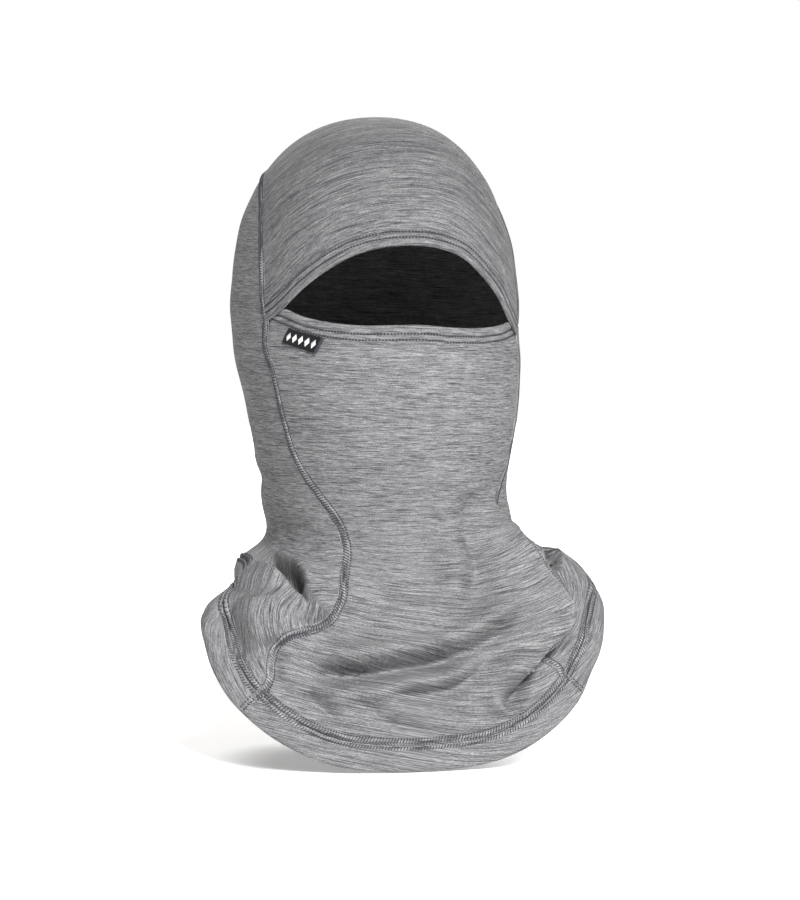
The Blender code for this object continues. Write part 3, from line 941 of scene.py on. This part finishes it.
# A lozenge's corners and middle, as (along, up) shares of the label, and their heights over the label.
LOZENGE_POINTS = ((-0.062, 0), (0, -0.30), (0.062, 0), (0, 0.30), (0, 0))
LOZENGE_HEIGHTS = (0.00005, 0.00005, 0.00005, 0.00005, 0.00035)
LOZENGE_THICKNESS = 0.0002


def label_point(along, up):
    """A surface point on the label: along it from 0 to 1 and up it from 0 to 1."""
    corners = [round_point(angle, z) for angle, z in LABEL_CORNERS]
    low = corners[0] + (corners[1] - corners[0]) * along[..., None]
    high = corners[3] + (corners[2] - corners[3]) * along[..., None]
    return settle(low + (high - low) * up[..., None])


def label_height(base, along):
    """The label's height over the form: it curls up at the folded end and down at the other one."""
    curl = 0.0007 * smooth(0.80, 1.0, along) - 0.0009 * smooth(0.10, 0.0, along)
    return LABEL_LIFT + curl + tuck(base)


def label_sheet(name, along, up, material, thickness, raised=0.0):
    """A woven strip over the label's place, from its values along the label and up it."""
    along, up = np.meshgrid(along, up)
    base = label_point(along, up)
    way = (along * LABEL_SIZE[0], up * LABEL_SIZE[1])
    lift = label_height(base, along) + raised
    return cloth_sheet(name, base, material, way, 5, lift=lift, thickness=thickness)


def label_material():
    """Black woven satin, with the fine ribs of its weave."""
    made, tree, shader = new_material("label_weave", {"Roughness": 0.6, "Specular IOR Level": 0.15})
    cloth = add_node(tree, "ShaderNodeAttribute", attribute_name="cloth").outputs["Vector"]
    inputs = [("Vector", cloth), ("Distortion", 0.4)]
    rib = add_node(tree, "ShaderNodeTexWave", inputs + [("Scale", 520.0)], bands_direction="Y")
    pick = add_node(tree, "ShaderNodeTexWave", inputs + [("Scale", 420.0)], bands_direction="X")
    weave = mixed(tree, "MIX", 0.5, rib.outputs["Color"], pick.outputs["Color"])
    tone = ramp(tree, weave, (0.2, (0.003, 0.003, 0.004, 1)), (0.8, (0.010, 0.010, 0.012, 1)))
    finish_material(tree, shader, tone, 0.4, 0.0001, weave)
    return made


def make_label(black, thread, silver):
    """The woven label: a black strip with a folded end and a plain row of light lozenges, no lettering."""
    strip = label_sheet("label_cloth", np.linspace(0, 1, 34), np.linspace(0, 1, 14), black, LABEL_THICKNESS)
    fold, rise = np.linspace(0.955, 1.02, 5), np.linspace(0.01, 0.99, 12)
    end = label_sheet("label_end", fold, rise, thread, LABEL_END_THICKNESS, raised=LABEL_END_THICKNESS)
    points, faces = [], []
    for number in range(LOZENGES):
        along, up = np.array(LOZENGE_POINTS).T
        along = along + LOZENGE_FIRST + LOZENGE_SPACING * number
        base = label_point(along, up + 0.5)
        place, facing = surface(base)
        height = (label_height(base, along) + np.array(LOZENGE_HEIGHTS))[:, None]
        points += [place + facing * height, place + facing * (height - LOZENGE_THICKNESS)]
        front = 2 * len(LOZENGE_POINTS) * number
        behind = front + len(LOZENGE_POINTS)
        for a, b in ((0, 1), (1, 2), (2, 3), (3, 0)):
            faces += [[front + a, front + b, front + 4], [behind + 4, behind + b, behind + a]]
            faces.append([behind + a, behind + b, front + b, front + a])
    pattern = make_object("label_pattern", np.concatenate(points), faces, silver)
    return strip, end, pattern


# ---- stage, camera and lights
CAMERA_AZIMUTH = -13.0
CAMERA_ELEVATION = 3.0
CAMERA_DISTANCE = 2.5
VIEW_HEIGHT = 0.5247
AIM_ACROSS = 0.01545
AIM_UP = -0.0746
SENSOR = 0.036
SUN_ANGLE = 18
KEY_SUN = (5, 31, 7.0)  # azimuth, elevation, strength
REAR_SUN = (170, 25, 3.0)
FLOOR_HALF = 4.0
FLOOR_GAP = 0.0005


def toward(azimuth, elevation):
    """The direction from the object at these angles in degrees, where azimuth 0 is in front of it."""
    azimuth, elevation = math.radians(azimuth), math.radians(elevation)
    level_part = math.cos(elevation)
    return Vector((math.sin(azimuth) * level_part, -math.cos(azimuth) * level_part, math.sin(elevation)))


def make_camera():
    """The camera at the photograph's angle, aimed at the middle of its picture."""
    azimuth = math.radians(CAMERA_AZIMUTH)
    right = Vector((math.cos(azimuth), math.sin(azimuth), 0))
    back = toward(CAMERA_AZIMUTH, CAMERA_ELEVATION)
    up = back.cross(right)
    data = bpy.data.cameras.new("camera")
    data.sensor_width = SENSOR * 1000
    data.lens = 1000 * SENSOR * CAMERA_DISTANCE / VIEW_HEIGHT
    camera = bpy.data.objects.new("camera", data)
    aim = right * AIM_ACROSS + up * AIM_UP
    camera.location = aim + back * CAMERA_DISTANCE
    camera.rotation_euler = back.to_track_quat("Z", "Y").to_euler()
    bpy.context.scene.collection.objects.link(camera)
    bpy.context.scene.camera = camera


def make_light(name, azimuth, elevation, strength):
    """A soft distant light from this direction."""
    data = bpy.data.lights.new(name, "SUN")
    data.angle = math.radians(SUN_ANGLE)
    data.energy = strength
    light = bpy.data.objects.new(name, data)
    light.rotation_euler = toward(azimuth, elevation).to_track_quat("Z", "Y").to_euler()
    bpy.context.scene.collection.objects.link(light)


def make_floor(floor_z):
    """A plain pale floor at this height."""
    mesh = bpy.data.meshes.new("floor")
    corners = [(x * FLOOR_HALF, y * FLOOR_HALF, floor_z) for x, y in ((-1, -1), (1, -1), (1, 1), (-1, 1))]
    mesh.from_pydata(corners, [], [(0, 1, 2, 3)])
    floor = bpy.data.objects.new("floor", mesh)
    bpy.context.scene.collection.objects.link(floor)
    values = {
        "Base Color": (0.94, 0.94, 0.94, 1), "Roughness": 0.9,
        "Emission Color": (1, 1, 1, 1), "Emission Strength": 0.25,
    }
    mesh.materials.append(new_material("pale_floor", values)[0])
    floor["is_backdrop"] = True


def make_studio():
    """A pale room with a soft key light from the front and above, and a weaker one behind."""
    world = bpy.data.worlds.new("studio")
    world.use_nodes = True
    tree = world.node_tree
    direction = add_node(tree, "ShaderNodeTexCoord").outputs["Generated"]
    height = add_node(tree, "ShaderNodeSeparateXYZ", [("Vector", direction)]).outputs["Z"]
    dome = ramp(tree, height, (0.12, (1.0, 1.0, 1.0, 1)), (0.42, (0.20, 0.185, 0.170, 1)))
    tree.links.new(dome, tree.nodes["Background"].inputs["Color"])
    bpy.context.scene.world = world
    make_light("key", *KEY_SUN)
    make_light("rear", *REAR_SUN)
    bpy.context.scene.view_settings.view_transform = "Standard"


def follow(piece, body, slot, *nodes):
    """The piece goes on the cape's body when body is the cape and otherwise stays where it is, and it stands
    for these CAD nodes.
    """
    if body == "cape":
        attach(piece, "cape")
    else:
        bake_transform(piece)
    if nodes:
        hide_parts(*nodes)


JERSEY_BRIGHTNESS = 0.96
# The crown's jersey is darker than the rest of the cloth: painted shade for the top of the head, where the
# lights fall less.
CROWN_SHADE_BRIGHTNESS = 0.80
SEAM_BRIGHTNESS = 0.98
SLATE = (0.030, 0.033, 0.042)
SILVER = (0.62, 0.62, 0.62)


def make_panels(jersey, thread):
    """The panels with their hems, the hem band and the label; the hem band's pieces go on the cape's body."""
    silver = thread_material("light_thread", SILVER)
    # A darker copy of the jersey for the crown panel and its brow hem: painted shade on the top of the head.
    crown_shaded_jersey = heather_material("crown_shaded_jersey", CROWN_SHADE_BRIGHTNESS)
    crown, brow_hem, brow_thread = make_crown(crown_shaded_jersey, thread)
    front, nose_hem, nose_thread = make_front(jersey, thread)
    back = make_back(jersey)
    band_front = make_band("hem_band_front_cloth", LEFT_JOIN, RIGHT_JOIN, jersey, front_cloth_way, 2)
    band_back = make_band("hem_band_back_cloth", RIGHT_JOIN, 360 + LEFT_JOIN, jersey, back_cloth_way, 3)
    label, label_end, label_pattern = make_label(label_material(), thread, silver)
    follow(crown, "crown", "jersey", "crown_panel")
    follow(brow_hem, "crown", "jersey_hem", "brow_hem")
    follow(brow_thread, "crown", "thread", "brow_hem_stitching")
    follow(front, "mask", "jersey", "face_panel", "bib_panel")
    follow(nose_hem, "mask", "jersey_hem", "nose_hem")
    follow(nose_thread, "mask", "thread", "nose_hem_stitching")
    follow(label, "mask", "woven_label", "label")
    follow(label_end, "mask", "thread", "label_stitching")
    follow(label_pattern, "mask", "thread")
    follow(back, "crown", "jersey", "back_panel")
    follow(band_front, "cape", "jersey_band", "hem_band_front")
    follow(band_back, "cape", "jersey_band", "hem_band_back")
    return (crown, brow_hem, brow_thread), (front, nose_hem, nose_thread, band_front), (back, band_back)


def make_seams(thread):
    """The flatlock seams between the panels and over the hem band, each named as its CAD node."""
    jersey = heather_material("seam_jersey", SEAM_BRIGHTNESS)
    side, band = (SIDE_SEAM_SECTION, SIDE_SEAM_ROWS), (BAND_SEAM_SECTION, BAND_SEAM_ROWS)
    for name, body, line, (section, rows) in (
        ("side_seam_right", "mask", seam_line(LEFT_SEAM), side),
        ("side_seam_left", "mask", seam_line(RIGHT_SEAM), side),
        ("crown_seam", "crown", crown_seam_line(), side),
        ("band_seam_front", "cape", band_line(LEFT_JOIN, RIGHT_JOIN, BAND_WIDTH), band),
        ("band_seam_back", "cape", band_line(RIGHT_JOIN, 360 + LEFT_JOIN, BAND_WIDTH), band),
    ):
        ridge = tube_beside(name + "_ridge", line, section, jersey, seam_way, 4)
        stitches = stitch_rows(name + "_thread", line, rows, thread)
        follow(ridge, body, "jersey")
        follow(stitches, body, "thread", name)
    for name, angle in (("band_join_right", LEFT_JOIN), ("band_join_left", RIGHT_JOIN)):
        follow(stitch_rows(name + "_thread", join_line(angle), JOIN_ROWS, thread), "cape", "thread", name)


def main():
    """The balaclava on its stage, as the photograph's camera sees it."""
    make_camera()
    jersey = heather_material("heather_jersey", JERSEY_BRIGHTNESS)
    thread = thread_material("slate_thread", SLATE)
    (crown, *crown_pieces), (front, *front_pieces), (back, *back_pieces) = make_panels(jersey, thread)
    make_seams(thread)
    make_floor(min(corner[2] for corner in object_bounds()) - FLOOR_GAP)
    make_studio()


main()
